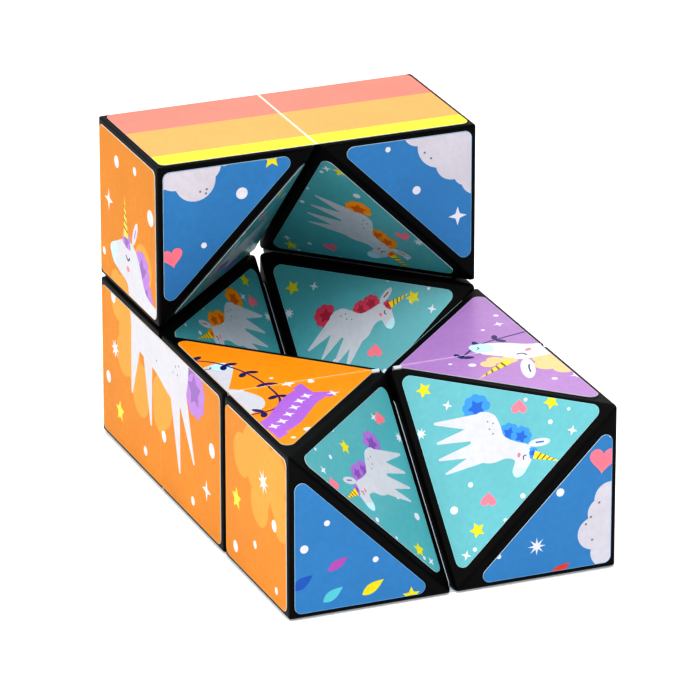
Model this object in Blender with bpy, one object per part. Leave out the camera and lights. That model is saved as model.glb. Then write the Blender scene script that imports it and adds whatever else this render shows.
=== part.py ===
"""Folding cube puzzle: eight corner-cut cubelets joined in a closed ring by printed film hinges.

Each cubelet is a hollow moulding, a cube with one corner cut off through that corner's three
neighbours, closed at the cut face by a pegged triangular cover. Printed film is stuck to every face.
Where two cubelets are hinged, the film of both runs out to their shared edge, square face to square
face and triangle to triangle, and the hinge line lies midway between them.

The puzzle stands partly unfolded, as an L. Cells are counted in pitches: X to the right, Y to the
back and Z up, with the rear cubelets' upper front inner corner at (1, 0, 0).
"""

import math

import bmesh
import bpy
from mathutils import Vector, geometry

# Driving dimensions, in metres.
CUBE_SIZE = 0.060  # the side of the closed cube, over its labels
GAP = 0.0008  # between the plastic faces of neighbouring cubelets
WALL = 0.0016
EDGE_ROUND = 0.0004
COVER_THICKNESS = 0.0015
FIT = 0.0002  # clearance round the cover and its pegs
PEG_RADIUS = 0.0012
PEG_LENGTH = 0.0040
LABEL_STAND = 0.0002  # the label's outer face above the plastic
LABEL_BED = 0.00005  # the adhesive line under a label
EDGE_BORDER = 0.0009  # bare plastic beside a cube edge
SLANT_BORDER = 0.0015  # bare plastic beside an edge of the cut face
LABEL_CORNER = 0.0013  # corner radius of a label
CORNER_STEPS = 4

# What follows from them.
PITCH = (CUBE_SIZE + GAP - 2 * LABEL_STAND) / 2
HALF = (PITCH - GAP) / 2
MOUTH_INSET = WALL * math.sqrt(3 / 2)  # the wall's width where the cut face slants across it
CUT_INRADIUS = HALF * math.sqrt(2 / 3)  # of the whole equilateral cut face
MOUTH_INRADIUS = CUT_INRADIUS - MOUTH_INSET
COVER_INRADIUS = MOUTH_INRADIUS - FIT
COVER_REACH = 2 * COVER_INRADIUS  # the cover's corner from the cut face's centre
PEG_REACH = COVER_REACH - 2 * PEG_RADIUS - 4 * FIT  # a peg's centre from the same point
BLOCK_REACH = PEG_REACH - 2 * PEG_RADIUS  # a corner block's inner face from the same point
PEG_SIDES = 16

PLASTIC = (0.012, 0.012, 0.013)
ORANGE = (0.94, 0.35, 0.06)
BLUE = (0.05, 0.22, 0.55)
TEAL = (0.24, 0.64, 0.63)

# Each cubelet's cell centre and the corner that is cut off, in pitches.
CUBELETS = {
    "upper_left": ((0.5, 0.5, 0.5), (1, 0, 0)),
    "upper_right": ((1.5, 0.5, 0.5), (1, 0, 0)),
    "rear_left": ((0.5, 0.5, -0.5), (1, 0, 0)),
    "rear_right": ((1.5, 0.5, -0.5), (1, 0, 0)),
    "middle_left": ((0.5, -0.5, -0.5), (1, 0, 0)),
    "middle_right": ((1.5, -0.5, -0.5), (1, 0, 0)),
    "front_left": ((0.5, -1.5, -0.5), (1, -2, 0)),
    "front_right": ((1.5, -1.5, -0.5), (1, -2, 0)),
}

# Each hinge line's middle in pitches, the axis it runs along, and the two cubelets it joins.
HINGES = {
    "upper_pair": ((1, 0.5, 1), 1, ("upper_left", "upper_right")),
    "rear_fold_left": ((0.5, 1, 0), 0, ("rear_left", "upper_left")),
    "rear_fold_right": ((1.5, 1, 0), 0, ("rear_right", "upper_right")),
    "side_left": ((0, 0, -0.5), 2, ("rear_left", "middle_left")),
    "side_right": ((2, 0, -0.5), 2, ("rear_right", "middle_right")),
    "front_fold_left": ((0.5, -1, 0), 0, ("middle_left", "front_left")),
    "front_fold_right": ((1.5, -1, 0), 0, ("middle_right", "front_right")),
    "front_pair": ((1, -1.5, -1), 1, ("front_left", "front_right")),
}

# The hinge that each moving cubelet turns on; the other four make up the base.
TURNS_ON = {
    "upper_left": "rear_fold_left",
    "upper_right": "rear_fold_right",
    "front_left": "front_fold_left",
    "front_right": "front_fold_right",
}

FACE_NAMES = {
    (0, -1): "left",
    (0, 1): "right",
    (1, -1): "front",
    (1, 1): "back",
    (2, -1): "bottom",
    (2, 1): "top",
}


def world(cell):
    """A place in pitches as metres, with the origin under the middle of the whole puzzle."""
    x, y, z = cell
    return Vector(
        (
            (x - 1) * PITCH,
            (y + 0.5) * PITCH - LABEL_STAND / 2,
            (z + 1) * PITCH - GAP / 2 + LABEL_STAND,
        )
    )


def clear_scene():
    for thing in list(bpy.data.objects):
        bpy.data.objects.remove(thing, do_unlink=True)


def make_material(name, colour, roughness):
    material = bpy.data.materials.new(name)
    material.use_nodes = True
    shader = material.node_tree.nodes["Principled BSDF"]
    shader.inputs["Base Color"].default_value = (*colour, 1)
    shader.inputs["Roughness"].default_value = roughness
    shader.inputs["Metallic"].default_value = 0
    return material


def add_object(name, mesh_builder, material, parent, location):
    """Link a bmesh as an object under its parent empty. Its mesh is centred on the cubelet."""
    mesh = bpy.data.meshes.new(name)
    bmesh.ops.recalc_face_normals(mesh_builder, faces=mesh_builder.faces)
    mesh_builder.to_mesh(mesh)
    mesh_builder.free()
    thing = bpy.data.objects.new(name, mesh)
    bpy.context.collection.objects.link(thing)
    thing.parent = parent
    thing.location = location - parent.location
    if material:
        mesh.materials.append(material)
    return thing


def add_cutter(name, mesh_builder, parent, location):
    cutter = add_object(name, mesh_builder, None, parent, location)
    cutter.hide_render = True
    cutter.display_type = "WIRE"
    return cutter


def combine(thing, operation, cutter):
    modifier = thing.modifiers.new(cutter.name, "BOOLEAN")
    modifier.operation = operation
    modifier.solver = "EXACT"
    modifier.object = cutter


# Faces of a cubelet


def face_corners(cut, axis, side):
    """The corners of one face, anticlockwise from outside, without the corner that is cut off."""
    across, up = (axis + 1) % 3, (axis + 2) % 3
    corners = []
    for first, second in ((-1, -1), (1, -1), (1, 1), (-1, 1)):
        corner = Vector((0, 0, 0))
        corner[axis] = side
        corner[across] = first
        corner[up] = second
        if corner != cut:
            corners.append(corner * HALF)
    return corners if side > 0 else corners[::-1]


def cut_face_corners(cut):
    """The cut face's three corners, anticlockwise from outside."""
    corners = []
    for axis in range(3):
        corner = cut.copy()
        corner[axis] = -corner[axis]
        corners.append(corner * HALF)
    turn = (corners[1] - corners[0]).cross(corners[2] - corners[0])
    return corners if turn.dot(cut) > 0 else corners[::-1]


def axis_vector(axis, side):
    direction = Vector((0, 0, 0))
    direction[axis] = side
    return direction


# Outlines and prisms


def inset(corners, normal, borders):
    """Move each edge of a flat outline inwards by its own border."""
    lines = []
    for index, start in enumerate(corners):
        along = (corners[(index + 1) % len(corners)] - start).normalized()
        lines.append((start + normal.cross(along) * borders[index], along))
    points = []
    for index, (start, along) in enumerate(lines):
        last_start, last_along = lines[index - 1]
        meet = geometry.intersect_line_line(last_start, last_start + last_along, start, start + along)
        points.append(meet[0])
    return points


def round_corners(points, radii):
    """Replace each corner of a flat outline that has a radius with an arc."""
    outline = []
    for index, corner in enumerate(points):
        radius = radii[index]
        if radius == 0:
            outline.append(corner)
            continue
        back = (points[index - 1] - corner).normalized()
        ahead = (points[(index + 1) % len(points)] - corner).normalized()
        half_angle = back.angle(ahead) / 2
        centre = corner + (back + ahead).normalized() * radius / math.sin(half_angle)
        start = (corner + back * radius / math.tan(half_angle) - centre).normalized()
        end = (corner + ahead * radius / math.tan(half_angle) - centre).normalized()
        for step in range(CORNER_STEPS + 1):
            outline.append(centre + start.slerp(end, step / CORNER_STEPS) * radius)
    return outline


def prism(outline, normal, low, high):
    """A flat outline thickened from low to high along its normal."""
    solid = bmesh.new()
    bottom = [solid.verts.new(point + normal * low) for point in outline]
    top = [solid.verts.new(point + normal * high) for point in outline]
    solid.faces.new(top)
    solid.faces.new(bottom[::-1])
    for index in range(len(outline)):
        after = (index + 1) % len(outline)
        solid.faces.new((bottom[index], bottom[after], top[after], top[index]))
    return solid


# The moulded shell and its cover


def cut_cube(cut):
    """The cubelet's outer form: three squares, three triangles and the cut face."""
    solid = bmesh.new()
    corners = {}
    outlines = [face_corners(cut, axis, side) for axis in range(3) for side in (-1, 1)]
    for outline in [*outlines, cut_face_corners(cut)]:
        loop = []
        for point in outline:
            key = tuple(value > 0 for value in point)
            if key not in corners:
                corners[key] = solid.verts.new(point)
            loop.append(corners[key])
        solid.faces.new(loop)
    return solid


def corner_directions(cut):
    """From the cut face's centre towards each of its corners."""
    centre = cut * HALF / 3
    return [(corner - centre).normalized() for corner in cut_face_corners(cut)]


def cavity(cut):
    """The inside of the shell: a cube that leaves a solid block in each corner of the mouth."""
    solid = bmesh.new()
    bmesh.ops.create_cube(solid, size=2 * (HALF - WALL))
    for direction in corner_directions(cut):
        bmesh.ops.bisect_plane(
            solid,
            geom=[*solid.verts, *solid.edges, *solid.faces],
            plane_co=cut * HALF / 3 + direction * BLOCK_REACH,
            plane_no=direction,
            clear_outer=True,
        )
        open_edges = [edge for edge in solid.edges if edge.is_boundary]
        bmesh.ops.holes_fill(solid, edges=open_edges)
    return solid


def cut_triangle(cut, inradius):
    """An equilateral outline on the cut face, inside its edges."""
    border = CUT_INRADIUS - inradius
    return inset(cut_face_corners(cut), cut.normalized(), [border] * 3)


def pegs(cut, radius, high, low):
    """Three round pegs square to the cut face, one near each of its corners."""
    solid = bmesh.new()
    normal = cut.normalized()
    for direction in corner_directions(cut):
        made = bmesh.ops.create_cone(
            solid,
            cap_ends=True,
            segments=PEG_SIDES,
            radius1=radius,
            radius2=radius,
            depth=high - low,
        )
        middle = cut * HALF / 3 + direction * PEG_REACH + normal * (high + low) / 2
        upright = normal.to_track_quat("Z", "Y").to_matrix()
        bmesh.ops.rotate(solid, verts=made["verts"], matrix=upright)
        bmesh.ops.translate(solid, verts=made["verts"], vec=middle)
    return solid


def add_shell(name, cut, plastic, parent, centre):
    shell = add_object(f"{name}_shell", cut_cube(cut), plastic, parent, centre)
    bevel = shell.modifiers.new("edge_round", "BEVEL")
    bevel.width = EDGE_ROUND
    bevel.segments = 2
    bevel.limit_method = "ANGLE"
    seat = COVER_THICKNESS + FIT / 2
    mouth = prism(cut_triangle(cut, MOUTH_INRADIUS - FIT / 4), cut.normalized(), -seat, PEG_LENGTH)
    sockets = pegs(cut, PEG_RADIUS + FIT / 2, 0, -seat - PEG_LENGTH - FIT)
    for part, builder in (("cavity", cavity(cut)), ("mouth", mouth), ("sockets", sockets)):
        combine(shell, "DIFFERENCE", add_cutter(f"{name}_{part}_cutter", builder, parent, centre))


def add_cover(name, cut, plastic, parent, centre):
    plate = prism(cut_triangle(cut, COVER_INRADIUS), cut.normalized(), -COVER_THICKNESS, 0)
    cover = add_object(f"{name}_cover", plate, plastic, parent, centre)
    peg_solid = pegs(cut, PEG_RADIUS, -COVER_THICKNESS / 2, -COVER_THICKNESS - PEG_LENGTH)
    combine(cover, "UNION", add_cutter(f"{name}_peg_guide", peg_solid, parent, centre))


# Printed film


def hinge_edges(name):
    """The two faces that meet at each hinge of a cubelet, as their axes and sides."""
    centre = CUBELETS[name][0]
    edges = []
    for middle, axis, pair in HINGES.values():
        if name in pair:
            away = Vector(middle) - Vector(centre)
            across = [other for other in range(3) if other != axis]
            edges.append({other: math.copysign(1, away[other]) for other in across})
    return edges


def on_hinge(point, sides):
    return all(point[axis] * side > 0 for axis, side in sides.items())


def edge_border(start, end):
    """The bare plastic beside an edge: a cube edge runs along one axis, a slanted one along two."""
    moves = [value for value in end - start if abs(value) > HALF]
    return EDGE_BORDER if len(moves) == 1 else SLANT_BORDER


def label_prism(corners, normal, sides):
    """A label or film leaf with round corners that runs out to the hinge edge, if it has one."""
    on_line = [bool(sides) and on_hinge(corner, sides) for corner in corners]
    borders = []
    for index, start in enumerate(corners):
        after = (index + 1) % len(corners)
        runs_out = on_line[index] and on_line[after]
        borders.append(0 if runs_out else edge_border(start, corners[after]))
    radii = [0 if at_hinge else LABEL_CORNER for at_hinge in on_line]
    outline = round_corners(inset(corners, normal, borders), radii)
    return prism(outline, normal, LABEL_BED, LABEL_STAND)


def add_films(name, cut, film_colours, parent, centre):
    """Two leaves at each hinge edge, on the square face and on the triangle that meet there."""
    for sides in hinge_edges(name):
        for axis, side in sides.items():
            corners = face_corners(cut, axis, side)
            leaf = label_prism(corners, axis_vector(axis, side), sides)
            face = FACE_NAMES[(axis, int(side))]
            add_object(f"{name}_{face}_film", leaf, film_colours[len(corners)], parent, centre)


def has_bottom_film(name):
    return any(sides.get(2) == -1 for sides in hinge_edges(name))


def add_labels(name, cut, cut_colour, bottom_colour, parent, centre):
    """The cut face's label, and the bottom label of a cubelet that stands on the table on it."""
    label = label_prism(cut_face_corners(cut), cut.normalized(), None)
    add_object(f"{name}_cut_label", label, cut_colour, parent, centre)
    on_table = CUBELETS[name][0][2] < 0
    if on_table and not has_bottom_film(name):
        bottom = label_prism(face_corners(cut, 2, -1), axis_vector(2, -1), None)
        add_object(f"{name}_bottom_label", bottom, bottom_colour, parent, centre)


def add_empty(name, location):
    empty = bpy.data.objects.new(name, None)
    empty.location = location
    bpy.context.collection.objects.link(empty)
    return empty


def build():
    clear_scene()
    plastic = make_material("black_plastic", PLASTIC, 0.4)
    orange = make_material("orange_film", ORANGE, 0.3)
    blue = make_material("blue_film", BLUE, 0.3)
    teal = make_material("teal_label", TEAL, 0.3)
    base = add_empty("base", world((1, 0, -1)))
    hinge_lines = {}
    for name, (centre_cell, cut_cell) in CUBELETS.items():
        turns_on = TURNS_ON.get(name)
        if turns_on and turns_on not in hinge_lines:
            hinge_lines[turns_on] = add_empty(turns_on, world(HINGES[turns_on][0]))
        parent = hinge_lines.get(turns_on, base)
        centre = world(centre_cell)
        offset = Vector(cut_cell) - Vector(centre_cell)
        cut = Vector([math.copysign(1, value) for value in offset])
        add_shell(name, cut, plastic, parent, centre)
        add_cover(name, cut, plastic, parent, centre)
        add_films(name, cut, {4: orange, 3: blue}, parent, centre)
        add_labels(name, cut, teal, orange, parent, centre)


build()
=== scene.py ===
"""The looks of the folding cube puzzle: printed films and labels, black mouldings, light and camera.

Each label is one closed sheet whose top is divided by colour, the way a print is. The pictures are
laid out on the planes of the cubelets' faces, in pitches (the distance from one cubelet to the next),
and each label shows the part of its plane's picture that falls inside its outline.
"""

import math

import bmesh
import bpy
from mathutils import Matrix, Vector, geometry


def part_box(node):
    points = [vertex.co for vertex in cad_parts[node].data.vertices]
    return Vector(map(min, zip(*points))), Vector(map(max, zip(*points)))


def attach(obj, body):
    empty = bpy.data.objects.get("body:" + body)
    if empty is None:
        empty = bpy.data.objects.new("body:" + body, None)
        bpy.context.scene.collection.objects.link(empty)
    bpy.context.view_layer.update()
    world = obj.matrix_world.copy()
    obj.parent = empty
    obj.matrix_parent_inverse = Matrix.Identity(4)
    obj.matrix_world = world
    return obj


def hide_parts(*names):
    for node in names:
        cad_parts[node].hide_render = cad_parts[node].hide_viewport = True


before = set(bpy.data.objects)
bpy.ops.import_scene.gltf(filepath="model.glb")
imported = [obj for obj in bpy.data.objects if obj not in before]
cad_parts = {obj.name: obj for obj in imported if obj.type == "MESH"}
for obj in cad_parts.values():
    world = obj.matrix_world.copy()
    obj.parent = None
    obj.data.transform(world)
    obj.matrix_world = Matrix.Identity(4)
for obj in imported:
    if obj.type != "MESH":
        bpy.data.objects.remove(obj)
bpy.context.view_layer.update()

# Camera, from the photograph's viewing angle.
CAMERA_PLACE = Vector((-0.3725, -0.9059, 0.4205))
CAMERA_AZIMUTH = 22.33
CAMERA_ELEVATION = 21.86
CAMERA_LENS = 313.8

# Label sizes, in metres.
EDGE_BORDER = 0.0009  # bare plastic beside a cube edge
SLANT_BORDER = 0.0015  # bare plastic beside an edge of the cut face
THIN_BORDER = 0.0004  # the same on the top edge of the one cut label that sits high
LABEL_CORNER = 0.0013
RIM = 0.0001  # the pale edge of a label
CUT_EDGE_INK = "rim"  # what the cut edge and the underside of a label show
FOLD_EDGE = 0.00003  # how thick a film still is on its hinge line
CORNER_STEPS = 6

# How a label's corners and edges are told apart.
AT_HINGE = 0.9  # towards the hinge, as a share of half a cubelet's width
SQUARE_CORNER = math.radians(75)  # corners are 45, 60 or 90 degrees
SLANTED = 2.5  # in half widths: straight edges are 2 long and slanted ones 2.83

# Limits for the triangulation, in millimetres.
SAME_POINT = 1e-4
ON_HINGE_LINE = 1e-4  # a triangle with all its corners this near the hinge line has no area
PAST_FOLD = 0.001

# Centres of the cubelets in pitches; the rear pair's upper front inner corner is at (1, 0, 0).
CELLS = {
    "upper_left": (0.5, 0.5, 0.5),
    "upper_right": (1.5, 0.5, 0.5),
    "rear_left": (0.5, 0.5, -0.5),
    "rear_right": (1.5, 0.5, -0.5),
    "middle_left": (0.5, -0.5, -0.5),
    "middle_right": (1.5, -0.5, -0.5),
    "front_left": (0.5, -1.5, -0.5),
    "front_right": (1.5, -1.5, -0.5),
}
MOVING_BODIES = ("upper_left", "upper_right", "front_left", "front_right")

# Each hinge: a point on its line in pitches, the axis it runs along, the two cubelets, the side on
# which their films lie open at rest, and whether it turns.
HINGES = (
    ((1, 0.5, 1), 1, ("upper_left", "upper_right"), (2, 1), False),
    ((0.5, 1, 0), 0, ("rear_left", "upper_left"), (1, 1), True),
    ((1.5, 1, 0), 0, ("rear_right", "upper_right"), (1, 1), True),
    ((0, 0, -0.5), 2, ("rear_left", "middle_left"), (0, -1), False),
    ((2, 0, -0.5), 2, ("rear_right", "middle_right"), (0, 1), False),
    ((0.5, -1, 0), 0, ("middle_left", "front_left"), (2, 1), True),
    ((1.5, -1, 0), 0, ("middle_right", "front_right"), (2, 1), True),
    ((1, -1.5, -1), 1, ("front_left", "front_right"), (2, -1), False),
)

# For each side of a cubelet: its name, and which way is right and up when it is looked at from outside.
SIDES = {
    (0, -1): ("left", Vector((0, -1, 0)), Vector((0, 0, 1))),
    (0, 1): ("right", Vector((0, 1, 0)), Vector((0, 0, 1))),
    (1, -1): ("front", Vector((1, 0, 0)), Vector((0, 0, 1))),
    (1, 1): ("back", Vector((-1, 0, 0)), Vector((0, 0, 1))),
    (2, 1): ("top", Vector((1, 0, 0)), Vector((0, 1, 0))),
    (2, -1): ("bottom", Vector((-1, 0, 0)), Vector((0, 1, 0))),
}


def shell_box(name):
    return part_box(f"{name}_shell")


def middle(box):
    return (box[0] + box[1]) / 2


PITCH = middle(shell_box("rear_right")).x - middle(shell_box("rear_left")).x
HALF = (shell_box("rear_left")[1].x - shell_box("rear_left")[0].x) / 2
GAP = PITCH - 2 * HALF
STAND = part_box("upper_left_top_film")[1].z - shell_box("upper_left")[1].z
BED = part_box("upper_left_top_film")[0].z - shell_box("upper_left")[1].z
MM = 0.001


# Colours, as the eye sees them on screen, from 0 to 255


def linear(shade):
    """The linear light of an sRGB shade."""
    value = shade / 255
    return value / 12.92 if value <= 0.04045 else ((value + 0.055) / 1.055) ** 2.4


INKS = {
    "rim": (214, 222, 226),
    "crease": (255, 236, 220),
    "salmon": (255, 130, 112),
    "apricot": (255, 170, 84),
    "yellow": (255, 246, 0),
    "orange": (218, 137, 6),
    "orange_blob": (230, 162, 58),
    "amber": (250, 150, 0),
    "sky": (52, 130, 187),
    "cloud": (207, 204, 213),
    "teal": (92, 175, 182),
    "white": (224, 224, 232),
    "pony": (207, 207, 214),
    "peach": (255, 200, 140),
    "muzzle": (196, 228, 240),
    "pink": (250, 130, 148),
    "star": (230, 216, 8),
    "lilac": (176, 133, 192),
    "violet_hair": (176, 120, 206),
    "violet_dark": (140, 88, 178),
    "blue_hair": (60, 150, 240),
    "blue_dark": (24, 104, 200),
    "orange_hair": (250, 160, 30),
    "orange_dark": (226, 110, 10),
    "pink_hair": (214, 70, 100),
    "pink_dark": (180, 44, 78),
    "navy": (34, 22, 96),
    "horn": (252, 214, 20),
    "horn_line": (120, 96, 30),
    "cyan": (96, 196, 206),
    "deep_blue": (20, 92, 180),
    "magenta": (176, 84, 176),
    "violet": (176, 112, 210),
    "red": (222, 62, 40),
    "speck": (120, 120, 132),
}


def add_tint(base, suffix, share):
    """A paler ink for the edge or the crease of a label, part of the way to white."""
    INKS[f"{base}_{suffix}"] = tuple(value + (250 - value) * share for value in INKS[base])


for base, suffix, share in (
    ("sky", "rim", 0.30),
    ("teal", "rim", 0.18),
    ("orange", "rim", 0.40),
    ("orange", "crease", 0.10),
    ("amber", "rim", 0.35),
    ("amber", "crease", 0.04),
    ("lilac", "rim", 0.40),
    ("lilac", "crease", 0.10),
):
    add_tint(base, suffix, share)


def principled(name):
    material = bpy.data.materials.new(name)
    material.use_nodes = True
    nodes = material.node_tree.nodes
    return material, nodes, material.node_tree.links, nodes["Principled BSDF"]


def set_values(node, values):
    """Put constant values on a node's own sockets."""
    for socket, value in values.items():
        node.inputs[socket].default_value = value


def add_ramp(nodes, links, value, stops):
    """A colour ramp between two stops, each (position, colour)."""
    ramp = nodes.new("ShaderNodeValToRGB")
    for element, (position, colour) in zip(ramp.color_ramp.elements, stops):
        element.position = position
        element.color = (*colour, 1)
    links.new(value, ramp.inputs["Fac"])
    return ramp.outputs["Color"]


def add_noise(nodes, links, place, scale, detail):
    noise = nodes.new("ShaderNodeTexNoise")
    set_values(noise, {"Scale": scale, "Detail": detail})
    links.new(place, noise.inputs["Vector"])
    return noise.outputs["Fac"]


def add_bump(nodes, links, height, distance, strength, normal=None):
    bump = nodes.new("ShaderNodeBump")
    set_values(bump, {"Distance": distance, "Strength": strength})
    links.new(height, bump.inputs["Height"])
    if normal:
        links.new(normal, bump.inputs["Normal"])
    return bump.outputs["Normal"]


def gloss_of(name):
    """How strongly the laminate over an ink reflects, and how much clear coat it has."""
    if name.startswith("teal"):
        return 0.60, 0.30
    if name.startswith("orange"):
        return 0.14, 0.0
    return 0.32, 0.14


def ink_material(name, shade):
    """Printed film under a gloss laminate: ink mottle, a fine tooth and slight waviness."""
    material, nodes, links, shader = principled(f"print_{name}")
    place = nodes.new("ShaderNodeTexCoord").outputs["Object"]
    colour = [linear(value) for value in shade]
    both = nodes.new("ShaderNodeMath")
    both.operation = "MULTIPLY"
    links.new(add_noise(nodes, links, place, scale=900, detail=3), both.inputs[0])
    links.new(add_noise(nodes, links, place, scale=90, detail=2), both.inputs[1])
    darker = [value * 0.93 for value in colour]
    lighter = [min(1, value * 1.03) for value in colour]
    mottle = add_ramp(nodes, links, both.outputs[0], [(0.12, darker), (0.40, lighter)])
    links.new(mottle, shader.inputs["Base Color"])
    tooth = nodes.new("ShaderNodeTexVoronoi")
    set_values(tooth, {"Scale": 2600})
    links.new(place, tooth.inputs["Vector"])
    wave = add_noise(nodes, links, place, scale=45, detail=1)
    wavy = add_bump(nodes, links, wave, distance=0.0006, strength=0.25)
    normal = add_bump(nodes, links, tooth.outputs["Distance"], distance=0.00003, strength=0.2, normal=wavy)
    links.new(normal, shader.inputs["Normal"])
    reflection, coat = gloss_of(name)
    set_values(shader, {"Roughness": 0.40, "Specular IOR Level": reflection})
    set_values(shader, {"Coat Weight": coat, "Coat Roughness": 0.16})
    return material


def plastic_material():
    """Black moulded plastic with a fine grain and paler rubbed patches."""
    material, nodes, links, shader = principled("black_plastic")
    place = nodes.new("ShaderNodeTexCoord").outputs["Object"]
    rubbed = add_noise(nodes, links, place, scale=160, detail=4)
    black, worn = (0.0015, 0.0015, 0.0017), (0.005, 0.0045, 0.005)
    links.new(add_ramp(nodes, links, rubbed, [(0.35, black), (0.75, worn)]), shader.inputs["Base Color"])
    spread = nodes.new("ShaderNodeMapRange")
    set_values(spread, {"To Min": 0.34, "To Max": 0.52})
    links.new(rubbed, spread.inputs["Value"])
    links.new(spread.outputs["Result"], shader.inputs["Roughness"])
    set_values(shader, {"Specular IOR Level": 0.12})
    grain = add_noise(nodes, links, place, scale=3200, detail=2)
    links.new(add_bump(nodes, links, grain, distance=0.00004, strength=0.35), shader.inputs["Normal"])
    return material


# Motifs: each is a list of (ink, outline in the picture's plane)


def turned(centre, x, y, turn):
    """The point (x, y), turned anticlockwise about the origin and moved to a centre."""
    return (
        centre[0] + x * math.cos(turn) - y * math.sin(turn),
        centre[1] + x * math.sin(turn) + y * math.cos(turn),
    )


def arc(centre, start, end, steps):
    """Points on a circle from one point to another, the short way round."""
    first, last = start - centre, end - centre
    turn = math.atan2(first.cross(last), first.dot(last))
    return [Vector(turned(centre, *first, turn * step / steps)) for step in range(steps + 1)]


def polar(centre, reach, around):
    """The point at a distance and an angle in radians from a centre."""
    return (centre[0] + reach * math.cos(around), centre[1] + reach * math.sin(around))


def ring(centre, wide, tall=None, angle=0.0, steps=20):
    """An ellipse, turned anticlockwise by an angle in degrees."""
    tall = wide if tall is None else tall
    turn = math.radians(angle)
    points = []
    for step in range(steps):
        around = 2 * math.pi * step / steps
        points.append(turned(centre, wide * math.cos(around), tall * math.sin(around), turn))
    return points


def burst(centre, radius, arms, waist, angle=90.0):
    """A star with any number of arms; waist is the inner radius as a share of the outer."""
    points = []
    for step in range(2 * arms):
        reach = radius if step % 2 == 0 else radius * waist
        points.append(polar(centre, reach, math.radians(angle) + math.pi * step / arms))
    return points


def heart(centre, size, angle=0.0):
    turn = math.radians(angle)
    points = []
    for step in range(24):
        t = 2 * math.pi * step / 24
        x = size * math.sin(t) ** 3
        lift = 13 * math.cos(t) - 5 * math.cos(2 * t) - 2 * math.cos(3 * t) - math.cos(4 * t)
        points.append(turned(centre, x, size * lift / 16, turn))
    return points


def drop(centre, length, width, angle):
    """A leaf-shaped drop with both ends pointed, fatter towards one end."""
    turn = math.radians(angle)
    points = []
    steps = 9
    for side in (1, -1):
        for step in range(steps):
            t = step / steps if side == 1 else 1 - step / steps
            x = (t - 0.5) * length
            y = side * width / 2 * math.sin(math.pi * t**0.8)
            points.append(turned(centre, x, y, turn))
    return points


def stroke(points, width, steps=6):
    """A smooth line through the points, as an outline of its width."""
    curve = smooth(points, steps, closed=False)
    left, right = [], []
    for index, point in enumerate(curve):
        before = curve[max(index - 1, 0)]
        after = curve[min(index + 1, len(curve) - 1)]
        along = Vector((after[0] - before[0], after[1] - before[1])).normalized()
        across = Vector((-along.y, along.x)) * width / 2
        left.append((point[0] + across.x, point[1] + across.y))
        right.append((point[0] - across.x, point[1] - across.y))
    return left + right[::-1]


def smooth(points, steps=5, closed=True):
    """A Catmull-Rom curve through the points."""
    count = len(points)
    curve = []
    spans = count if closed else count - 1
    for index in range(spans):
        if closed:
            near = [Vector(points[(index + shift) % count]) for shift in (-1, 0, 1, 2)]
        else:
            near = [Vector(points[min(max(index + shift, 0), count - 1)]) for shift in (-1, 0, 1, 2)]
        for step in range(steps):
            t = step / steps
            straight = near[1] * 2 + (near[2] - near[0]) * t
            square = (near[0] * 2 - near[1] * 5 + near[2] * 4 - near[3]) * t * t
            cube = (near[1] * 3 - near[0] - near[2] * 3 + near[3]) * t * t * t
            curve.append(tuple((straight + square + cube) / 2))
    if not closed:
        curve.append(tuple(points[-1]))
    return curve


def dots(ink, places, size):
    """Round dots, each at (x, y) or (x, y, its own size)."""
    return [(ink, ring(place[:2], place[2] if len(place) > 2 else size, steps=14)) for place in places]


def bursts(ink, places, size, arms, waist):
    return [(ink, burst(place, size, arms, waist)) for place in places]


def cloud(ink, lobes):
    """A cloud of round lobes, each (x, y, radius)."""
    return [(ink, ring((x, y), radius, steps=28)) for x, y, radius in lobes]


def placed(parts, centre, size, angle):
    """Motif parts drawn about the origin, scaled, turned and moved to their place."""
    turn = math.radians(angle)
    return [(ink, [turned(centre, x * size, y * size, turn) for x, y in outline]) for ink, outline in parts]


def tuft(centre, size, ink, dark, angle, lobes=6):
    """Hair as a fan of round lobes, with a darker star at its heart."""
    parts = []
    for step in range(lobes):
        around = math.radians(angle) + (step / (lobes - 1) - 0.5) * math.pi * 1.15
        parts.append((ink, ring(polar(centre, size * 0.62, around), size * 0.36, steps=14)))
    parts.append((ink, ring(centre, size * 0.62, steps=16)))
    parts.append((dark, burst(centre, size * 0.62, 5, 0.55, angle)))
    return parts


def horn(root, tip, width):
    """A tapered horn with slanting bands."""
    root, tip = Vector(root), Vector(tip)
    along = tip - root
    across = Vector((-along.y, along.x)).normalized() * width / 2
    parts = [("horn", [tuple(root - across), tuple(root + across), tuple(tip)])]
    for share in (0.12, 0.30, 0.48, 0.66):
        half = across * (1 - share)
        start, end = root + along * share - half, root + along * (share + 0.1) + half
        thin = along * 0.055
        parts.append(("horn_line", [tuple(start), tuple(end), tuple(end + thin), tuple(start + thin)]))
    return parts


def leg(hip, foot, width):
    """A leg that tapers from the hip to a fine round foot."""
    hip, foot = Vector(hip), Vector(foot)
    along = (foot - hip).normalized()
    across = Vector((-along.y, along.x))
    narrow = width * 0.08
    tip = arc(foot, foot - across * narrow, foot + across * narrow, 5)
    points = (hip + across * width / 2, hip - across * width / 2, *tip)
    return ("pony", [tuple(point) for point in points])


def lashes(centre, size, angle=0.0):
    """A closed eye: a short curved line."""
    turn = math.radians(angle)
    points = [turned(centre, x * size, y * size, turn) for x, y in ((-1, 0.35), (0, -0.35), (1, 0.35))]
    return ("navy", stroke(points, size * 0.4, 4))


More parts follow.
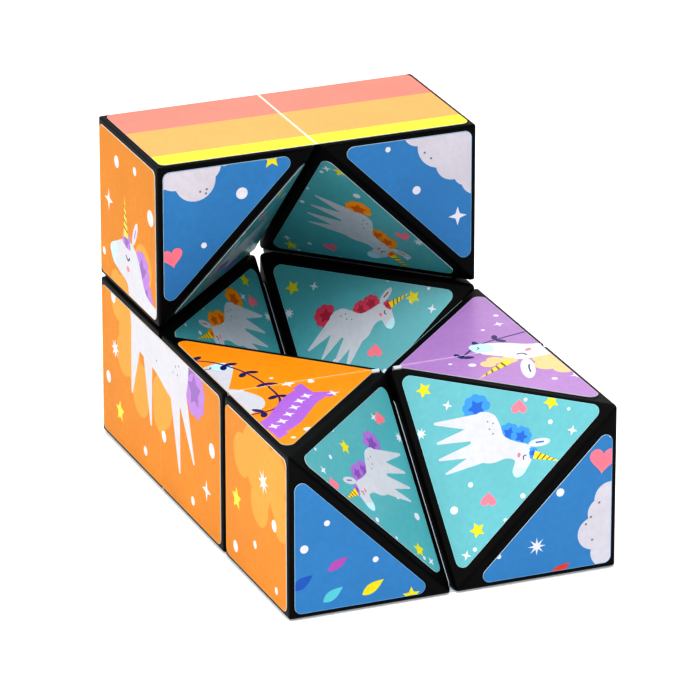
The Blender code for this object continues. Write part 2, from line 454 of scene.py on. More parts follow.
def pony(hair, dark):
    """A little horned pony facing right, about one unit across, with its body about the origin."""
    parts = tuft((-0.47, -0.20), 0.20, hair, dark, 215)
    parts += tuft((-0.16, 0.30), 0.15, hair, dark, 170)
    parts += tuft((-0.13, 0.47), 0.15, hair, dark, 165)
    parts.append(leg((-0.28, -0.14), (-0.22, -0.74), 0.24))
    parts.append(leg((-0.14, -0.16), (0.04, -0.66), 0.22))
    parts.append(leg((0.08, -0.10), (0.26, -0.60), 0.22))
    parts.append(leg((0.15, 0.00), (0.44, -0.48), 0.20))
    rump = [(-0.28, -0.24), (-0.42, -0.14), (-0.40, 0.05), (-0.26, 0.16)]
    neck = [(-0.12, 0.24), (-0.06, 0.40), (-0.03, 0.58)]
    face = [(0.08, 0.67), (0.22, 0.64), (0.38, 0.56), (0.42, 0.47), (0.33, 0.42), (0.20, 0.43)]
    chest = [(0.18, 0.30), (0.25, 0.14), (0.25, -0.02), (0.14, -0.17), (-0.06, -0.22)]
    parts.append(("pony", smooth(rump + neck + face + chest)))
    nose = [(0.30, 0.60), (0.39, 0.555), (0.42, 0.47), (0.34, 0.42), (0.29, 0.50)]
    parts.append(("muzzle", smooth(nose)))
    parts.append(("pony", ring((-0.07, 0.73), 0.055, 0.15, 14, steps=16)))
    parts.append((dark, stroke([(-0.065, 0.68), (-0.085, 0.79)], 0.02, 2)))
    parts += tuft((0.08, 0.66), 0.085, hair, dark, 100, 5)
    parts += horn((0.10, 0.68), (0.16, 1.04), 0.11)
    parts.append(lashes((0.14, 0.55), 0.035, -20))
    parts.append(("pink", ring((0.12, 0.475), 0.035, 0.022)))
    parts += dots("speck", [(-0.28, 0.06), (-0.20, 0.02), (-0.30, -0.02), (-0.14, 0.08)], 0.011)
    return parts


# The pictures. Planes across X are drawn over (-y, z), planes across Y over (x, z) and planes across Z
# over (x, y), all in pitches. A cut face is drawn over its own triangle, with corners at (0, 0), (1, 0)
# and (0.5, 0.866).


def side_blobs():
    blobs = [(-0.25, 0.30, 0.14), (-0.32, 0.22, 0.10), (-0.70, 0.04, 0.09), (-0.60, 0.03, 0.10)]
    blobs += [(-0.68, -0.06, 0.12), (-0.52, -0.08, 0.16), (-0.42, -0.12, 0.12), (-0.55, -0.22, 0.12)]
    blobs += [(-0.58, -0.36, 0.13), (-0.45, -0.34, 0.14), (-0.32, -0.52, 0.13), (-0.30, -0.42, 0.11)]
    blobs += [(0.04, -0.42, 0.16), (0.00, -0.52, 0.11), (0.08, -0.34, 0.11), (0.52, -0.05, 0.08)]
    blobs += [(1.30, -0.26, 0.13), (1.45, -0.17, 0.14), (1.62, -0.15, 0.13), (1.50, -0.28, 0.13)]
    blobs += [(1.68, -0.26, 0.13), (1.82, -0.18, 0.14), (1.84, -0.34, 0.12), (1.56, -0.46, 0.13)]
    blobs += [(1.88, -0.46, 0.10), (1.60, -0.36, 0.12)]
    return cloud("orange_blob", blobs)


def side_pony():
    """The large pony that stretches over the upper, rear and middle cubelets, facing the back."""
    parts = tuft((0.52, -0.04), 0.19, "violet_hair", "violet_dark", 0)
    parts += tuft((0.56, -0.16), 0.17, "violet_hair", "violet_dark", -50)
    parts += tuft((-0.27, 0.27), 0.13, "violet_hair", "violet_dark", 20)
    parts += tuft((-0.22, 0.12), 0.13, "violet_hair", "violet_dark", -10)
    parts.append(leg((-0.38, -0.16), (-0.46, -0.54), 0.17))
    parts.append(leg((-0.20, -0.16), (-0.15, -0.63), 0.17))
    parts.append(leg((0.24, -0.26), (0.31, -0.75), 0.17))
    parts.append(leg((0.35, -0.24), (0.54, -0.61), 0.16))
    face = [(-0.68, 0.32), (-0.79, 0.26), (-0.75, 0.18), (-0.64, 0.14), (-0.52, 0.11)]
    belly = [(-0.48, 0.00), (-0.45, -0.16), (-0.34, -0.24), (-0.08, -0.27), (0.16, -0.34), (0.34, -0.34)]
    back = [(0.44, -0.20), (0.45, 0.02), (0.20, 0.14), (-0.06, 0.12), (-0.22, 0.16)]
    crown = [(-0.32, 0.31), (-0.42, 0.38), (-0.56, 0.37)]
    parts.append(("pony", smooth(face + belly + back + crown)))
    nose = [(-0.69, 0.31), (-0.785, 0.26), (-0.75, 0.18), (-0.70, 0.165), (-0.68, 0.24)]
    parts.append(("muzzle", smooth(nose)))
    parts.append(("pony", ring((-0.38, 0.46), 0.03, 0.09, -28, steps=16)))
    parts.append(("violet_hair", stroke([(-0.39, 0.43), (-0.365, 0.49)], 0.014, 2)))
    parts += tuft((-0.52, 0.37), 0.07, "violet_hair", "violet_dark", 80, 5)
    parts += horn((-0.53, 0.39), (-0.545, 0.64), 0.075)
    parts.append(lashes((-0.50, 0.27), 0.032))
    parts.append(("pink", ring((-0.50, 0.205), 0.026, 0.018)))
    specks = [(0.26, -0.12), (0.31, -0.10), (0.29, -0.16), (0.22, -0.17), (-0.05, -0.20)]
    return parts + dots("speck", specks, 0.007)


def sideways_picture():
    """The outer left and right planes: a long pony over three cubelets, among blobs and dots."""
    crease = 0.0045
    parts = [("orange_crease", [(-crease, -2), (crease, -2), (crease, 2), (-crease, 2)])]
    parts += side_blobs() + side_pony()
    places = [(-0.67, 0.81), (-0.37, 0.85, 0.027), (-0.12, 0.65, 0.05), (-0.90, 0.18, 0.025)]
    places += [(-0.76, -0.06), (-0.86, -0.60), (-0.25, -0.84, 0.03), (0.06, -0.63, 0.036)]
    places += [(0.83, -0.42, 0.045), (0.52, -0.85, 0.028), (1.19, -0.86, 0.036), (1.49, -0.73, 0.025)]
    places += [(1.78, -0.50, 0.036), (1.81, -0.88, 0.022)]
    parts += dots("white", places, 0.038)
    parts += bursts("white", [(-0.81, 0.53), (0.74, -0.70)], 0.07, 4, 0.3)
    parts += bursts("white", [(-0.74, -0.38)], 0.062, 8, 0.42)
    parts += bursts("white", [(1.62, -0.30)], 0.078, 8, 0.35)
    parts += bursts("star", [(-0.67, -0.75), (1.21, -0.56)], 0.07, 5, 0.5)
    return parts


def across_plane(bands):
    """Bands that run right across a picture, each (ink, low edge, high edge)."""
    return [(ink, [(-1, low), (3, low), (3, high), (-1, high)]) for ink, low, high in bands]


def rainbow_top():
    """Bands across the top of the upper cubelets, and the pale crease between the two."""
    parts = across_plane([("salmon", 0.61, 2), ("apricot", 0.19, 0.61), ("yellow", -2, 0.19)])
    crease = 0.0065
    parts.append(("crease", [(1 - crease, -1), (1 + crease, -1), (1 + crease, 2), (1 - crease, 2)]))
    return parts


def upper_sky():
    """The front plane of the upper cubelets: a cloud in each outer corner, a heart and dots."""
    left = [(-0.02, 0.94, 0.11), (0.12, 0.96, 0.12), (0.24, 0.885, 0.125)]
    left += [(0.30, 0.97, 0.10), (0.42, 1.0, 0.05)]
    right = [(1.62, 1.00, 0.095), (1.76, 0.90, 0.145), (1.84, 0.78, 0.11), (1.92, 0.70, 0.075)]
    right += [(1.99, 0.66, 0.10), (1.93, 0.90, 0.20)]
    parts = cloud("cloud", left + right)
    places = [(0.525, 0.77, 0.036), (0.29, 0.485, 0.018), (0.01, 0.19, 0.03), (1.61, 0.635, 0.026)]
    places += [(1.43, 0.91, 0.017)]
    parts += dots("white", places, 0.02)
    parts += [("pink", heart((0.095, 0.44), 0.066, 8))]
    parts += bursts("star", [(0.71, 0.955)], 0.062, 5, 0.45)
    parts += bursts("white", [(1.87, 0.44)], 0.058, 4, 0.35)
    specks = [(0.27, 0.815), (0.305, 0.80), (0.31, 0.825), (1.66, 0.86), (1.70, 0.82)]
    return parts + dots("speck", specks, 0.007)


def lower_sky():
    """The front plane of the front cubelets: a cloud, a heart, drops and dots."""
    lobes = [(1.95, -0.56, 0.10), (1.90, -0.64, 0.09), (1.85, -0.76, 0.10)]
    lobes += [(1.93, -0.88, 0.10), (1.99, -0.72, 0.12)]
    parts = cloud("cloud", lobes)
    parts += [("pink", heart((1.90, -0.32), 0.085, -6))]
    parts += bursts("white", [(1.50, -0.785)], 0.055, 8, 0.35)
    places = [(1.64, -0.48, 0.025), (1.27, -0.81, 0.014), (1.95, -0.18, 0.017)]
    places += [(0.10, -0.57, 0.025), (0.235, -0.435, 0.018), (0.525, -0.70, 0.018)]
    parts += dots("white", places, 0.02)
    parts += [
        ("magenta", drop((0.30, -0.69), 0.14, 0.055, 28)),
        ("deep_blue", drop((0.09, -0.77), 0.14, 0.065, 32)),
        ("cyan", drop((0.27, -0.87), 0.14, 0.06, 32)),
        ("star", drop((0.51, -0.865), 0.15, 0.06, 30)),
        ("red", drop((1.64, -0.955), 0.15, 0.06, 30)),
    ]
    parts += bursts("star", [(0.74, -0.955)], 0.055, 5, 0.45)
    parts += dots("speck", [(1.80, -0.70), (1.83, -0.66), (1.88, -0.58), (1.84, -0.80)], 0.007)
    return parts


def branch(points, width, leaves):
    """A stem with pairs of round leaves, each leaf pair at a share of the stem's length."""
    stem = smooth(points, 8, closed=False)
    parts = [("navy", stroke(points, width, 8))]
    for share in leaves:
        index = int(share * (len(stem) - 2))
        at, ahead = Vector(stem[index]), Vector(stem[index + 1])
        heading = math.degrees(math.atan2(ahead.y - at.y, ahead.x - at.x))
        for side in (-1, 1):
            lean = heading + side * 55
            spot = polar(at, 3.2 * width, math.radians(lean))
            parts.append(("navy", ring(spot, 2.9 * width, 1.5 * width, lean, steps=14)))
    return parts


def ribbon(points, width):
    """A wavy banner with a row of sparkles and swallow tails."""
    parts = [("violet", stroke(points, width, 8))]
    for inner, outer in ((points[1], points[0]), (points[-2], points[-1])):
        along = (Vector(outer) - Vector(inner)).normalized()
        across = Vector((-along.y, along.x)) * width * 0.62
        end = Vector(outer)
        tip, notch = along * width * 0.5, along * width * 0.1
        tail = [end - across, end + across, end + across + tip, end + notch, end - across + tip]
        parts.append(("violet", [tuple(point) for point in tail]))
    line = smooth(points, 8, closed=False)
    for step in range(3, len(line) - 2, 5):
        parts.append(("white", burst(line[step], width * 0.20, 4, 0.40)))
    return parts


def table_crease(ink):
    """The faint line where the film folds between the middle and the front cubelets."""
    return across_plane([(ink, -1.004, -0.996)])


def table_left():
    """The amber triangle on top: part of a white pony, a leafy branch and a ribbon."""
    parts = table_crease("amber_crease")
    head = [(-0.14, -0.66), (0.02, -0.61), (0.12, -0.57), (0.19, -0.58), (0.21, -0.64), (0.17, -0.74)]
    parts.append(("pony", smooth(head + [(0.08, -0.92), (0.02, -1.02), (-0.14, -0.96)])))
    chest = [(-0.14, -0.92), (0.06, -0.95), (0.14, -1.02), (0.19, -1.13), (0.17, -1.24), (0.10, -1.31)]
    parts.append(("pony", smooth(chest + [(-0.04, -1.34), (-0.16, -1.20)])))
    nose = [(0.08, -0.60), (0.14, -0.567), (0.195, -0.585), (0.20, -0.655), (0.12, -0.68)]
    parts.append(("muzzle", smooth(nose)))
    parts.append(lashes((0.07, -0.625), 0.022, 20))
    stem = [(0.0, -0.46), (0.12, -0.54), (0.21, -0.68), (0.26, -0.83), (0.285, -1.02)]
    stem += [(0.275, -1.20), (0.19, -1.32), (0.03, -1.35)]
    parts += branch(stem, 0.013, (0.05, 0.22, 0.38, 0.53, 0.68, 0.93))
    parts += ribbon([(0.07, -1.57), (0.17, -1.50), (0.28, -1.37), (0.38, -1.25), (0.47, -1.18)], 0.20)
    places = [(0.345, -0.89, 0.013), (0.535, -1.02, 0.02), (0.26, -1.66, 0.028), (0.14, -1.74, 0.015)]
    parts += dots("white", places, 0.02)
    parts += bursts("white", [(0.40, -1.01), (0.585, -1.225)], 0.045, 4, 0.3)
    return parts


def table_right():
    """The lilac triangle on top: a horned pony's head lying on its side, with a branch."""
    parts = table_crease("lilac_crease")
    mane = [(1.56, -1.16, 0.045), (1.62, -1.12, 0.05), (1.70, -1.14, 0.05), (1.90, -1.20, 0.08)]
    mane += [(1.86, -1.29, 0.07), (1.96, -1.30, 0.09), (1.93, -1.38, 0.06), (2.04, -1.34, 0.09)]
    parts += cloud("peach", mane)
    stem = [(1.45, -1.03), (1.54, -0.94), (1.66, -0.86), (1.80, -0.82), (2.02, -0.77)]
    parts += branch(stem, 0.012, (0.05, 0.42, 0.68))
    face = [(1.56, -0.88), (1.64, -0.86), (1.78, -0.90), (1.92, -0.97), (2.12, -0.96), (2.12, -1.14)]
    face += [(1.96, -1.15), (1.86, -1.16), (1.76, -1.16), (1.69, -1.09), (1.57, -0.99)]
    parts.append(("white", smooth(face)))
    parts.append(("white", ring((1.745, -1.30), 0.042, 0.15, -20)))
    parts.append(("navy", stroke([(1.735, -1.36), (1.755, -1.29), (1.775, -1.25)], 0.009, 3)))
    parts += horn((1.69, -1.16), (1.42, -1.345), 0.062)
    nose = [(1.56, -0.88), (1.62, -0.862), (1.69, -0.89), (1.66, -1.00), (1.57, -0.98)]
    parts.append(("muzzle", smooth(nose)))
    parts.append(lashes((1.80, -1.09), 0.03, 150))
    parts.append(lashes((1.60, -0.92), 0.018, 60))
    parts.append(("pink", ring((1.86, -1.04), 0.024, 0.015, 30)))
    places = [(1.36, -1.08, 0.013), (1.47, -1.14, 0.024), (1.74, -0.67, 0.013)]
    places += [(1.90, -0.49, 0.016), (1.82, -1.50, 0.018)]
    parts += dots("white", places, 0.02)
    parts += bursts("white", [(1.86, -0.62), (1.95, -1.50)], 0.038, 4, 0.32)
    return parts


def cut_picture(hair, centre, angle, size, mirrored, hearts, stars):
    """A cut face: one pony lying on teal among dots, hearts and stars."""
    speckle = [(0.42, 0.80, 0.010), (0.585, 0.535, 0.017), (0.36, 0.54, 0.008), (0.54, 0.42, 0.011)]
    speckle += [(0.31, 0.43, 0.011), (0.265, 0.11, 0.010), (0.945, 0.042, 0.016), (0.39, 0.035, 0.008)]
    speckle += [(0.62, 0.66, 0.008), (0.20, 0.045, 0.007), (0.46, 0.68, 0.009), (0.76, 0.40, 0.010)]
    parts = dots("white", speckle, 0.01)
    parts += bursts("white", [(0.49, 0.71), (0.165, 0.13), (0.715, 0.11)], 0.022, 4, 0.35)
    parts += bursts("white", [(0.80, 0.245)], 0.026, 8, 0.42)
    parts += [("pink", heart(place, 0.034, 10)) for place in hearts]
    parts += bursts("star", stars, 0.034, 5, 0.5)
    parts += placed(pony(hair + "_hair", hair + "_dark"), centre, size, angle)
    if mirrored:
        parts = [(ink, [(1 - x, y) for x, y in outline]) for ink, outline in parts]
    return parts


def plain_picture(plane_low, plane_high):
    """A scatter of dots, sparkles, hearts and stars over a region, for faces without a picture."""
    parts = []
    kinds = 0
    step = 0.36
    rows = int((plane_high[1] - plane_low[1]) / step) + 1
    columns = int((plane_high[0] - plane_low[0]) / step) + 1
    for row in range(rows):
        for column in range(columns):
            shift = 0.18 if row % 2 else 0.0
            x = plane_low[0] + (column + 0.4) * step + shift
            y = plane_low[1] + (row + 0.45) * step + 0.05 * math.sin(7.0 * column + 3.0 * row)
            kinds += 1
            if kinds % 4 == 0:
                parts += bursts("white", [(x, y)], 0.05, 4, 0.3)
            elif kinds % 7 == 0:
                parts.append(("pink", heart((x, y), 0.06, 10)))
            elif kinds % 5 == 0:
                parts += bursts("star", [(x, y)], 0.06, 5, 0.45)
            else:
                parts += dots("white", [(x, y)], 0.018 + 0.008 * (kinds % 3))
    return parts


def back_picture():
    """The back plane: clouds, a heart and a rainbow over the upper and rear cubelets."""
    parts = []
    bands = [("salmon", 0.95), ("apricot", 0.80), ("yellow", 0.65), ("teal", 0.52), ("sky", 0.40)]
    for ink, radius in bands:
        parts.append((ink, ring((1.0, -0.55), radius, steps=64)))
    puff = [(0, 0, 0.24), (-0.24, -0.06, 0.16), (0.24, -0.07, 0.17), (0.05, -0.16, 0.18), (-0.12, 0.10, 0.16)]
    for middle_x in (0.22, 1.78):
        parts += cloud("cloud", [(middle_x + x, -0.68 + y, radius) for x, y, radius in puff])
    places = [(0.3, 0.8), (0.75, 0.62), (1.3, 0.86), (1.72, 0.42), (0.2, 0.3), (1.0, -0.72)]
    parts += dots("white", places, 0.03)
    parts += bursts("star", [(0.52, 0.40), (1.52, 0.62)], 0.075, 5, 0.45)
    parts += bursts("white", [(1.82, 0.82), (0.14, 0.56), (1.05, 0.72)], 0.06, 4, 0.3)
    parts += [("pink", heart((1.0, -0.45), 0.09)), ("pink", heart((0.68, 0.86), 0.06, 12))]
    return parts


def bottom_picture():
    """Bands across the whole bottom, under a scatter of dots and stars."""
    bands = [("salmon", -0.4, 1.2), ("apricot", -0.8, -0.4), ("yellow", -1.2, -0.8)]
    bands += [("teal", -1.6, -1.2), ("sky", -2.2, -1.6)]
    return across_plane(bands) + plain_picture((0, -2), (2, 1))


SIDE_ART = sideways_picture()
RAINBOW = rainbow_top()
UPPER_SKY = upper_sky()
LOWER_SKY = lower_sky()
BACK_ART = back_picture()
BOTTOM_ART = bottom_picture()
CROSS_ART = plain_picture((-1, -1), (2, 1))
TABLE_LEFT = table_left()
TABLE_RIGHT = table_right()

# The ponies on the cut faces: hair, centre, angle, size, whether the picture is mirrored, hearts, stars.
SIGNS = ([(0.45, 0.47), (0.41, 0.07)], [(0.468, 0.60), (0.83, 0.062), (0.28, 0.027)])
MIRRORED_SIGNS = ([(0.17, 0.20), (0.75, 0.13)], [(0.46, 0.64), (0.40, 0.12)])
REAR_SIGNS = ([(0.17, 0.16), (0.76, 0.15)], [(0.80, 0.06), (0.46, 0.64)])
UPPER_SIGNS = ([(0.737, 0.275), (0.362, 0.105)], [(0.55, 0.70), (0.171, 0.076)])
CUT_PONIES = {
    "front_right": ("blue", (0.515, 0.242), 95, 0.31, False, *SIGNS),
    "front_left": ("violet", (0.50, 0.308), 104, 0.30, True, *MIRRORED_SIGNS),
    "rear_right": ("pink", (0.495, 0.27), 141, 0.275, False, [(0.375, 0.35)], [(0.26, 0.093), (0.81, 0.13)]),
    "rear_left": ("orange", (0.53, 0.20), 113, 0.30, True, *REAR_SIGNS),
    "upper_right": ("orange", (0.512, 0.28), 227, 0.315, False, *UPPER_SIGNS),
    "upper_left": ("violet", (0.51, 0.255), 96, 0.31, False, *SIGNS),
    "middle_left": ("blue", (0.485, 0.335), 102, 0.31, True, *MIRRORED_SIGNS),
    "middle_right": ("pink", (0.51, 0.255), 96, 0.31, False, *SIGNS),
}


def picture_for(name, face):
    """The ground ink and the motifs of one face."""
    row, column = name.split("_")
    if face == "cut":
        return "teal", cut_picture(*CUT_PONIES[name])
    if face in ("left", "right"):
        return ("orange", SIDE_ART) if face == column else ("sky", CROSS_ART)
    table = ("amber", TABLE_LEFT) if column == "left" else ("lilac", TABLE_RIGHT)
    pictures = {
        "top": {"upper": ("salmon", RAINBOW), "rear": (table[0], CROSS_ART), "middle": table, "front": table},
        "bottom": {"upper": (table[0], CROSS_ART)},
        "front": {"upper": ("sky", UPPER_SKY), "middle": ("lilac", CROSS_ART), "front": ("sky", LOWER_SKY)},
        "back": {"upper": ("sky", BACK_ART), "rear": ("sky", BACK_ART), "front": ("lilac", CROSS_ART)},
    }
    return pictures[face].get(row, ("sky", BOTTOM_ART if face == "bottom" else CROSS_ART))


# Faces: where each one is, in metres, and how its picture lies on it


def cut_signs(name):
    """Which corner of a cubelet is cut off, from the side that its cover is on."""
    towards = middle(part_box(f"{name}_cover")) - middle(shell_box(name))
    return Vector([math.copysign(1, value) for value in towards])


def square_face(name, axis, side, cut):
    """A face of the cube: its frame, its corners in its own plane, and the way its picture lies."""
    word, right, up = SIDES[(axis, side)]
    normal = right.cross(up)
    centre = middle(shell_box(name)) + normal * HALF
    corners = []
    for across, rise in ((-1, -1), (1, -1), (1, 1), (-1, 1)):
        corner = normal + right * across + up * rise
        if corner != cut:
            corners.append(Vector((across, rise)) * HALF)
    cell = Vector(CELLS[name]) + normal * 0.5
    picture_right = Vector((0, -1, 0)) if axis == 0 else Vector((1, 0, 0))
    picture_up = Vector((0, 1, 0)) if axis == 2 else Vector((0, 0, 1))

    def to_plane(point):
        place = picture_right * point[0] + picture_up * point[1] - cell
        return Vector((place.dot(right), place.dot(up))) * PITCH

    return {
        "word": word,
        "centre": centre,
        "right": right,
        "up": up,
        "corners": corners,
        "to_plane": to_plane,
        "thin_edge": None,
    }


def cut_face(name, cut):
    """The equilateral cut face. Its third corner is the one above or below the cut corner."""
    points = []
    for axis in range(3):
        corner = cut.copy()
        corner[axis] = -corner[axis]
        points.append(middle(shell_box(name)) + corner * HALF)
    first, second, third = points
    if (second - first).cross(third - first).dot(cut) < 0:
        first, second = second, first
    right = (second - first).normalized()
    up = cut.normalized().cross(right)
    centre = (first + second + third) / 3
    spokes = [point - centre for point in (first, second, third)]
    corners = [Vector((spoke.dot(right), spoke.dot(up))) for spoke in spokes]
    side = (second - first).length

    def to_plane(point):
        return corners[0] + Vector((point[0], point[1])) * side

    return {
        "word": "cut",
        "centre": centre,
        "right": right,
        "up": up,
        "corners": corners,
        "to_plane": to_plane,
        "thin_edge": 0 if name == "front_right" else None,
    }


def hinge_of(name, axis, side, face):
    """How a face's film meets its hinge line: the way to it, how far past the edge, and the rise."""
    for line, along, pair, open_side, turns in HINGES:
        if name not in pair:
            continue
        away = Vector(line) - Vector(CELLS[name])
        borders_face = away[axis] * side > 0.25
        if not borders_face:
            continue
        other = next(index for index in range(3) if index not in (axis, along))
        towards = Vector((0, 0, 0))
        towards[other] = math.copysign(1, away[other])
        if turns:
            reach, rise = GAP / 2, GAP / 2 - STAND
        else:
            reach, rise = (GAP / 2 if open_side == (axis, side) else 0.0), 0.0
        flat = Vector((towards.dot(face["right"]), towards.dot(face["up"])))
        return {"towards": flat, "reach": reach, "rise": rise}
    return None


# Outlines


def inset(corners, borders):
    """The polygon inside another one, with its own border along each side."""
    lines = []
    for index, start in enumerate(corners):
        along = (corners[(index + 1) % len(corners)] - start).normalized()
        lines.append((start + Vector((-along.y, along.x)) * borders[index], along))
    points = []
    for index, (start, along) in enumerate(lines):
        last, last_along = lines[index - 1]
        share = (start - last).cross(along) / last_along.cross(along)
        points.append(last + last_along * share)
    return points


def label_outline(face, hinge, extra):
    """The label's outline, inside its borders by a little extra, with round corners.

    At a hinge it runs on to the hinge line. Where a slanted edge meets that line, the tip is
    rounded so that it and the next cubelet's film make one round corner.
    """
    corners = face["corners"]
    count = len(corners)
    at_hinge = [bool(hinge) and corner.dot(hinge["towards"]) > HALF * AT_HINGE for corner in corners]
    borders = []
    for index, start in enumerate(corners):
        end = corners[(index + 1) % count]
        if at_hinge[index] and at_hinge[(index + 1) % count]:
            borders.append(-hinge["reach"])
        elif index == face["thin_edge"]:
            borders.append(THIN_BORDER + extra)
        elif face["word"] == "cut" or (end - start).length > HALF * SLANTED:
            borders.append(SLANT_BORDER + extra)
        else:
            borders.append(EDGE_BORDER + extra)
    points = inset(corners, borders)
    radius = LABEL_CORNER - extra
    outline = []
    for index, corner in enumerate(points):
        back = (points[index - 1] - corner).normalized()
        ahead = (points[(index + 1) % count] - corner).normalized()
        angle = back.angle(ahead)
        if at_hinge[index] and angle > SQUARE_CORNER:
            outline.append(corner)
        elif at_hinge[index]:
            next_at_hinge = at_hinge[(index + 1) % count]
            line, slant = (ahead, back) if next_at_hinge else (back, ahead)
            centre = corner + line * radius / math.sin(angle)
            on_slant = corner + slant * radius / math.tan(angle)
            on_line = centre - line * radius
            if next_at_hinge:
                outline += arc(centre, on_slant, on_line, CORNER_STEPS)
            else:
                outline += arc(centre, on_line, on_slant, CORNER_STEPS)
        else:
            centre = corner + (back + ahead).normalized() * radius / math.sin(angle / 2)
            reach = radius / math.tan(angle / 2)
            outline += arc(centre, corner + back * reach, corner + ahead * reach, CORNER_STEPS)
    return outline


# Sheets


def span(points):
    """The lowest and the highest coordinates of an outline."""
    low = [min(point[axis] for point in points) for axis in range(2)]
    high = [max(point[axis] for point in points) for axis in range(2)]
    return low, high


def covers(outline):
    """A function that says whether a point is inside an outline, counting how often it winds round."""
    low, high = span(outline)
    edges = list(zip([outline[-1], *outline[:-1]], outline))

    def inside(place):
        if not (low[0] <= place.x <= high[0] and low[1] <= place.y <= high[1]):
            return False
        winding = 0
        for (last_x, last_y), (x, y) in edges:
            if (y > place.y) != (last_y > place.y):
                crossing = x + (place.y - y) / (last_y - y) * (last_x - x)
                if place.x < crossing:
                    winding += 1 if y > last_y else -1
        return winding != 0

    return inside


def split_by_ink(outline, inner, rim, layers, folds):
    """Divide a label into triangles, each with the ink of the topmost layer that covers it.

    Lengths are in millimetres, which suits the triangulation's rounding.
    """
    points, edges = [], []
    for loop in (outline, inner, *(shape for _, shape in layers)):
        first, count = len(points), len(loop)
        edges += [(first + index, first + (index + 1) % count) for index in range(count)]
        points += [Vector(point) for point in loop]
    for start, end in folds:
        edges.append((len(points), len(points) + 1))
        points += [Vector(start), Vector(end)]
    found = geometry.delaunay_2d_cdt(points, edges, [], 0, SAME_POINT, False)
    in_label, in_print = covers(outline), covers(inner)
    tests = [(ink, covers(shape)) for ink, shape in reversed(layers)]
    kept = []
    for loop in found[2]:
        centre = sum((found[0][vertex] for vertex in loop), Vector((0, 0))) / len(loop)
        if not in_label(centre):
            continue
        if rim and not in_print(centre):
            kept.append((loop, rim))
        else:
            kept.append((loop, next(ink for ink, test in tests if test(centre))))
    return found[0], kept


def near_label(points, label_low, label_high):
    low, high = span(points)
    return all(low[axis] < label_high[axis] and high[axis] > label_low[axis] for axis in range(2))


def underside_parts(walk, place, hinge):
    """The label's outline as one loop, or as two that share the fold at the cube's edge."""
    if not (hinge and hinge["reach"]):
        return [walk]
    is_past = [place(vert).dot(hinge["towards"]) - HALF / MM > PAST_FOLD for vert in walk]
    first = next(index for index, value in enumerate(is_past) if value and not is_past[index - 1])
    walk, is_past = walk[first:] + walk[:first], is_past[first:] + is_past[:first]
    beyond = [vert for vert, value in zip(walk, is_past) if value]
    within = [vert for vert, value in zip(walk, is_past) if not value]
    return [within, [within[-1], *beyond, within[0]]]


def make_sheet(name, face, hinge, ground, picture, inks):
    """One label as a closed sheet that lies on its face, divided by ink on top."""
    outline = [point / MM for point in label_outline(face, hinge, 0.0)]
    inner = [point / MM for point in label_outline(face, hinge, RIM)]
    low, high = span(outline)
    layers = [(ground, outline)]
    for ink, points in picture:
        shape = [face["to_plane"](point) / MM for point in points]
        if near_label(shape, low, high):
            layers.append((ink, shape))
    folds = []
    if hinge and hinge["reach"]:
        towards = hinge["towards"]
        edge, across = towards * HALF / MM, Vector((-towards.y, towards.x)) * HALF * 2 / MM
        folds.append((edge - across, edge + across))
    rim = None if picture is RAINBOW else f"{ground}_rim"
    points, triangles = split_by_ink(outline, inner, rim, layers, folds)
    normal = face["right"].cross(face["up"])

    def lifted(point, top):
        past = 0.0
        if hinge and hinge["reach"]:
            past = max(0.0, point.dot(hinge["towards"]) * MM - HALF)
        share = past / hinge["reach"] if past else 0.0
        if top:
            height = STAND + hinge["rise"] * share if past else STAND
        elif past and hinge["rise"]:
            height = BED + (GAP / 2 - FOLD_EDGE - BED) * share
        else:
            height = BED
        return face["centre"] + face["right"] * point.x * MM + face["up"] * point.y * MM + normal * height

    def flat_on_hinge(loop):
        if not hinge:
            return False
        line = (HALF + hinge["reach"]) / MM
        return all(abs(points[vertex].dot(hinge["towards"]) - line) < ON_HINGE_LINE for vertex in loop)

    builder = bmesh.new()
    tops, slots = {}, [CUT_EDGE_INK]
    for loop, ink in triangles:
        if flat_on_hinge(loop):
            continue
        if ink not in slots:
            slots.append(ink)
        for vertex in loop:
            if vertex not in tops:
                tops[vertex] = builder.verts.new(lifted(points[vertex], True))
        made = builder.faces.new([tops[vertex] for vertex in loop])
        made.material_index = slots.index(ink)
    place_of = {vert: vertex for vertex, vert in tops.items()}
    edge_loops = [edge.link_loops[0] for edge in builder.edges if edge.is_boundary]
    after = {loop.vert: loop.link_loop_next.vert for loop in edge_loops}
    walk = [next(iter(after))]
    while len(walk) < len(after):
        walk.append(after[walk[-1]])
    bottoms = {vert: builder.verts.new(lifted(points[place_of[vert]], False)) for vert in walk}
    for start, end in after.items():
        builder.faces.new((end, start, bottoms[start], bottoms[end]))
    for part in underside_parts(walk, lambda vert: points[place_of[vert]], hinge):
        builder.faces.new([bottoms[vert] for vert in reversed(part)])
    many_sided = [made for made in builder.faces if len(made.verts) > 4]
    bmesh.ops.poke(builder, faces=many_sided)
    bmesh.ops.recalc_face_normals(builder, faces=builder.faces)
    mesh = bpy.data.meshes.new(name)
    builder.to_mesh(mesh)
    builder.free()
    for ink in slots:
        mesh.materials.append(inks[ink])
    sheet = bpy.data.objects.new(name, mesh)
    bpy.context.collection.objects.link(sheet)
    return sheet


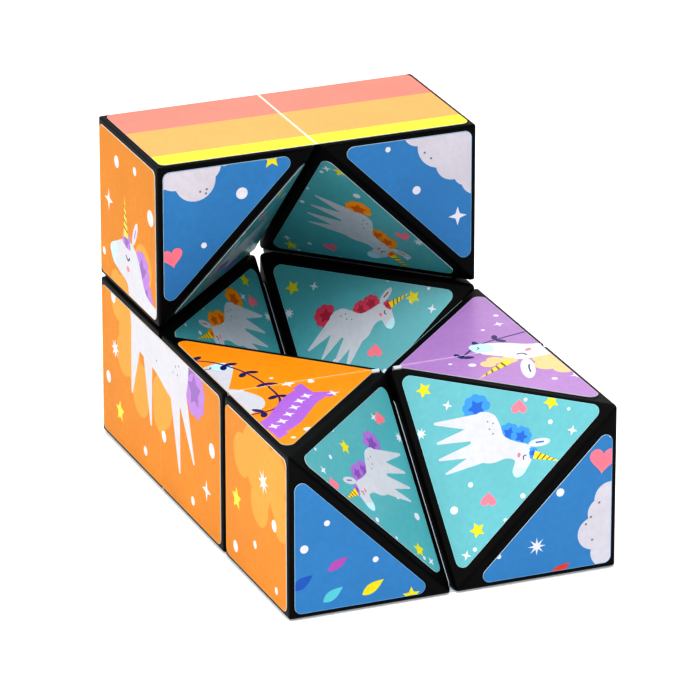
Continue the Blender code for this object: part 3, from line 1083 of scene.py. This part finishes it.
def make_labels(inks):
    """A printed sheet on all seven faces of every cubelet, in place of the CAD's films and labels."""
    for name in CELLS:
        cut = cut_signs(name)
        faces = [(axis, side, square_face(name, axis, side, cut)) for axis, side in SIDES]
        faces.append((None, None, cut_face(name, cut)))
        for axis, side, face in faces:
            word = face["word"]
            hinge = None if word == "cut" else hinge_of(name, axis, side, face)
            ground, picture = picture_for(name, word)
            sheet = make_sheet(f"{name}_{word}_print", face, hinge, ground, picture, inks)
            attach(sheet, name if name in MOVING_BODIES else "base")
            for node in (f"{name}_{word}_film", f"{name}_{word}_label"):
                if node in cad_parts:
                    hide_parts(node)


def dress_mouldings():
    """The shells and covers stay as they are in CAD, in grained black plastic."""
    plastic = plastic_material()
    for name in CELLS:
        for part in ("shell", "cover"):
            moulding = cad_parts[f"{name}_{part}"]
            for material_slot in moulding.material_slots:
                material_slot.material = plastic


# Surroundings


def make_floor():
    """A white table that glows a little, so that it meets the white background."""
    mesh = bpy.data.meshes.new("floor")
    size, height = 3.0, -0.0001
    corners = [(size * x, size * y, height) for x, y in ((-1, -1), (1, -1), (1, 1), (-1, 1))]
    mesh.from_pydata(corners, [], [(0, 1, 2, 3)])
    floor = bpy.data.objects.new("floor", mesh)
    bpy.context.collection.objects.link(floor)
    material, _, _, shader = principled("floor_white")
    set_values(shader, {"Base Color": (0.90, 0.90, 0.90, 1), "Roughness": 0.8})
    set_values(shader, {"Emission Color": (1, 1, 1, 1), "Emission Strength": 0.2})
    mesh.materials.append(material)


def area_light(name, place, size, power):
    """A soft box that faces the puzzle and isn't seen itself."""
    data = bpy.data.lights.new(name, "AREA")
    data.shape = "RECTANGLE"
    data.size, data.size_y = size
    data.energy = power
    light = bpy.data.objects.new(name, data)
    light.location = place
    light.rotation_euler = (Vector((0, 0, 0.03)) - Vector(place)).to_track_quat("-Z", "Y").to_euler()
    light.visible_camera = False
    bpy.context.collection.objects.link(light)


def make_lights():
    """A bright backdrop behind, a dark room in front, soft boxes above and left, and a low card."""
    world = bpy.data.worlds.new("studio")
    world.use_nodes = True
    nodes, links = world.node_tree.nodes, world.node_tree.links
    split = nodes.new("ShaderNodeSeparateXYZ")
    links.new(nodes.new("ShaderNodeTexCoord").outputs["Generated"], split.inputs[0])
    ramp = nodes.new("ShaderNodeMapRange")
    set_values(ramp, {"From Min": -0.1, "From Max": 0.6, "To Min": 0.02, "To Max": 0.9})
    links.new(split.outputs["Y"], ramp.inputs["Value"])
    links.new(ramp.outputs["Result"], nodes["Background"].inputs["Strength"])
    set_values(nodes["Background"], {"Color": (1, 1, 1, 1)})
    bpy.context.scene.world = world
    area_light("overhead", (-0.05, -0.24, 0.82), (0.45, 0.45), 3.8)
    area_light("left_high", (-0.62, -0.18, 0.60), (0.50, 0.50), 1.6)
    area_light("front_high", (-0.10, -0.60, 0.42), (0.50, 0.30), 1.3)
    area_light("left_card", (-0.70, 0.00, 0.10), (0.60, 0.18), 0.10)
    bpy.context.scene.view_settings.view_transform = "Standard"
    bpy.context.scene.view_settings.look = "High Contrast"


def make_camera():
    data = bpy.data.cameras.new("camera")
    data.lens = CAMERA_LENS
    data.clip_start = 0.01
    data.clip_end = 20
    camera = bpy.data.objects.new("camera", data)
    azimuth, elevation = math.radians(CAMERA_AZIMUTH), math.radians(CAMERA_ELEVATION)
    level = math.cos(elevation)
    ahead = Vector((math.sin(azimuth) * level, math.cos(azimuth) * level, -math.sin(elevation)))
    camera.location = CAMERA_PLACE
    camera.rotation_euler = ahead.to_track_quat("-Z", "Y").to_euler()
    bpy.context.collection.objects.link(camera)
    bpy.context.scene.camera = camera


make_camera()
make_lights()
make_floor()
dress_mouldings()
make_labels({name: ink_material(name, shade) for name, shade in INKS.items()})
